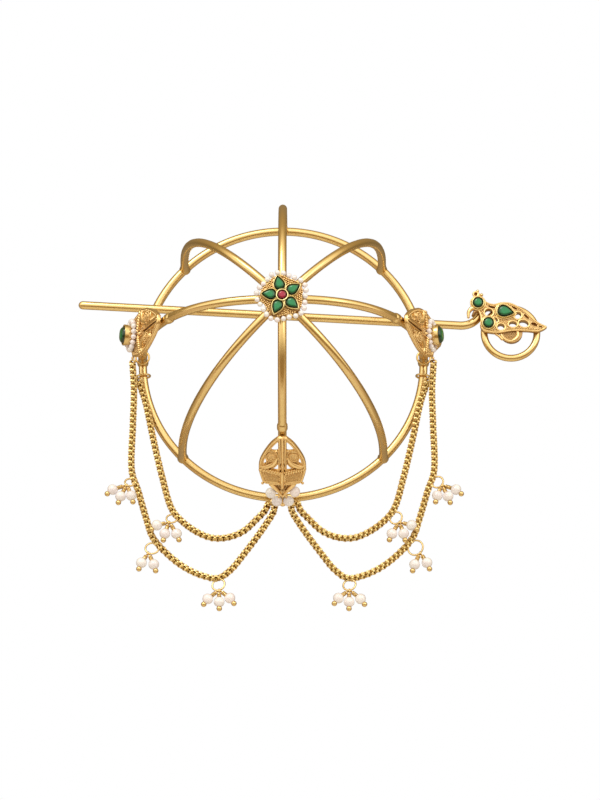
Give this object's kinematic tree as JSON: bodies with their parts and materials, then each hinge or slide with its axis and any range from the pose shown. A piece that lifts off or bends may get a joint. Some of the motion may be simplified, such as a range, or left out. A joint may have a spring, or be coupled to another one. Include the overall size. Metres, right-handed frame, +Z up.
{
  "type": "hair bun cage",
  "caption": "Gold wire dome worn over a hair bun, with a pearl-edged flower, pierced crests, draped chains with pearl drops, and a long hair stick with a pierced bird.",
  "frame": {"origin": "centre of the base ring, where the bun sits on the head", "axes": "+Z up as worn, +X to the right of the picture seen from the dome's side, -Y along the dome's axis towards its apex"},
  "size_m": [0.1338, 0.0613, 0.1165],
  "materials": {
    "gold": "antique gold plate, satin",
    "emerald": "polished green stone",
    "ruby": "polished red stone",
    "pearl": "pearl lustre"
  },
  "bodies": {
    "cage": {"bottom_loop_left": "gold", "bottom_loop_right": "gold", "cage_frame": "gold", "chain_inner_left": "gold", "chain_inner_right": "gold", "chain_outer_left": "gold", "chain_outer_right": "gold", "crest_bottom": "gold", "crest_left": "gold", "crest_pearl_left_lower": "pearl", "crest_pearl_left_upper": "pearl", "crest_pearl_right_lower": "pearl", "crest_pearl_right_upper": "pearl", "crest_right": "gold", "flower_pearl_string": "pearl", "flower_ruby": "ruby", "flower_setting": "gold", "gem_cup_left": "gold", "gem_cup_right": "gold", "gem_pearl_string_left": "pearl", "gem_pearl_string_right": "pearl", "gem_stone_left": "emerald", "gem_stone_right": "emerald", "jump_ring_left_1": "gold", "jump_ring_left_2": "gold", "jump_ring_left_3": "gold", "jump_ring_left_4": "gold", "jump_ring_right_1": "gold", "jump_ring_right_2": "gold", "jump_ring_right_3": "gold", "jump_ring_right_4": "gold", "pearl_cluster_left_1": "pearl", "pearl_cluster_left_2": "pearl", "pearl_cluster_left_3": "pearl", "pearl_cluster_left_4": "pearl", "pearl_cluster_right_1": "pearl", "pearl_cluster_right_2": "pearl", "pearl_cluster_right_3": "pearl", "pearl_cluster_right_4": "pearl", "petal_stone_1": "emerald", "petal_stone_2": "emerald", "petal_stone_3": "emerald", "petal_stone_4": "emerald", "petal_stone_5": "emerald", "rib_loop_left": "gold", "rib_loop_right": "gold", "ring_loop_left": "gold", "ring_loop_right": "gold"},
    "stick": {"stick_rod": "gold", "bird_plate": "gold", "bird_eye_stone": "emerald", "bird_wing_stone": "emerald", "bird_breast_stone": "emerald", "finial_ring": "gold"}
  },
  "joints": [
    {"name": "stick_slide", "type": "slide", "parent": "cage", "child": "stick", "axis": [0.9984, 0, -0.0568], "range_m": [0, 0.11]}
  ]
}
